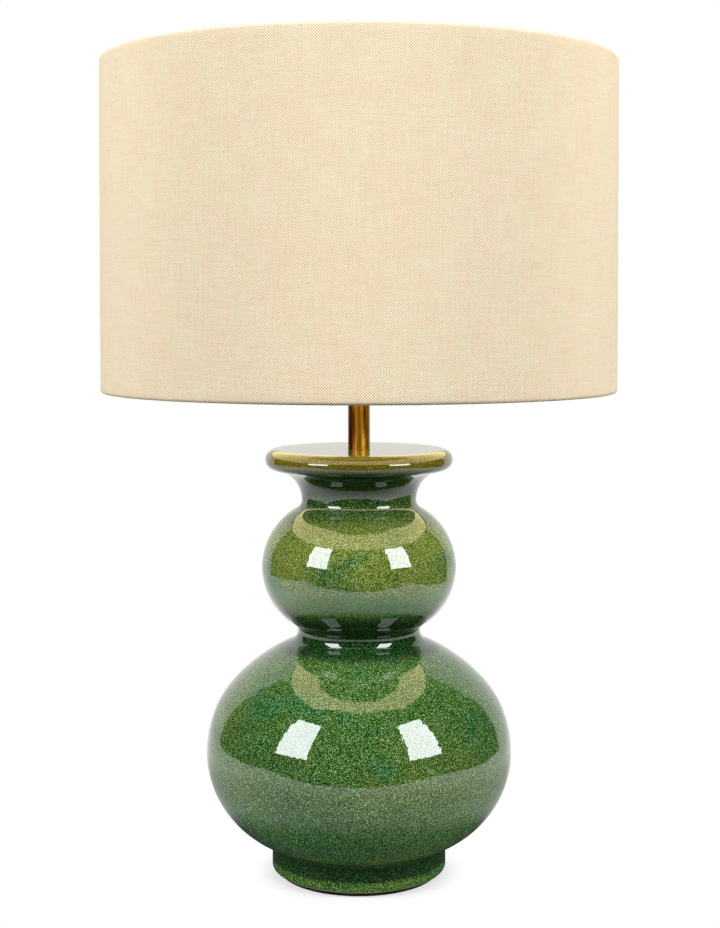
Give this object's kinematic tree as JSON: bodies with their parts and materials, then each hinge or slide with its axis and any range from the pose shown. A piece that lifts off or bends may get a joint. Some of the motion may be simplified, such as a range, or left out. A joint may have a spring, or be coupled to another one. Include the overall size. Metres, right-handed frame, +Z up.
{
  "type": "table lamp",
  "caption": "Table lamp with a green glazed double gourd body, a flat disc top, a short brass stem and a natural drum shade on a screw-ring lampholder.",
  "frame": {"origin": "centre of the pad's underside, where the lamp stands", "axes": "+Z up along the lamp's axis, -Y to the front of the picture, +X to the viewer's right"},
  "size_m": [0.35, 0.3503, 0.5537],
  "materials": {
    "green_glaze": "high gloss, fine pale speckle",
    "black_pad": "matt foam",
    "black_rubber": "satin",
    "zinc_steel": "zinc plated",
    "antique_brass": "antique, satin",
    "bright_brass": "bright",
    "porcelain": "unglazed white",
    "nylon": "natural",
    "black_plastic": "gloss",
    "opal_glass": "opal",
    "bulb_metal": "bright",
    "solder": "soldered",
    "natural_linen": "fine twill, laminated",
    "white_lining": "satin sheet",
    "white_wire": "powder coated"
  },
  "bodies": {
    "base": {"ceramic_body": "green_glaze", "cable_grommet": "black_rubber", "base_pad": "black_pad", "base_plate": "zinc_steel", "flat_washer": "zinc_steel", "spring_washer": "zinc_steel", "base_nut": "zinc_steel", "threaded_rod": "zinc_steel", "neck_bush": "nylon", "stem_tube": "antique_brass", "lampholder_cap": "antique_brass", "grub_screw": "zinc_steel", "lampholder_insert": "porcelain", "terminal_1": "bright_brass", "terminal_2": "bright_brass", "terminal_screws": "zinc_steel", "centre_contact": "bright_brass", "screw_shell": "bright_brass", "lampholder_skirt": "antique_brass"},
    "switch": {"switch_bar": "black_plastic"},
    "clamp_ring": {"shade_ring": "antique_brass"},
    "bulb_carriage": {"bulb_contact": "solder"},
    "bulb": {"bulb_glass": "opal_glass", "bulb_cap": "bulb_metal", "bulb_insulator": "black_plastic"},
    "shade": {"shade_fabric": "natural_linen", "shade_lining": "white_lining", "shade_bottom_wire": "white_wire", "shade_top_wire": "white_wire", "shade_hub": "white_wire", "shade_arm_1": "white_wire", "shade_arm_2": "white_wire", "shade_arm_3": "white_wire"}
  },
  "joints": [
    {"name": "switch_push", "type": "slide", "parent": "base", "child": "switch", "axis": [1, 0, 0], "range_m": [0, 0.006]},
    {"name": "ring_travel", "type": "slide", "parent": "base", "child": "clamp_ring", "axis": [0, 0, 1], "range_m": [0, 0.015]},
    {"name": "bulb_rise", "type": "slide", "parent": "base", "child": "bulb_carriage", "axis": [0, 0, 1], "range_m": [0, 0.01462]},
    {"name": "bulb_turn", "type": "hinge", "parent": "bulb_carriage", "child": "bulb", "pos_m": [0, 0, 0.3555], "axis": [0, 0, 1], "range_deg": [0, 1440]},
    {"name": "shade_turn", "type": "hinge", "parent": "base", "child": "shade", "pos_m": [0, 0, 0.3604], "axis": [0, 0, 1], "continuous": true}
  ],
  "couplings": [
    {"joint": "bulb_rise", "follows": "bulb_turn", "m_per_rad": 0.00057757}
  ]
}
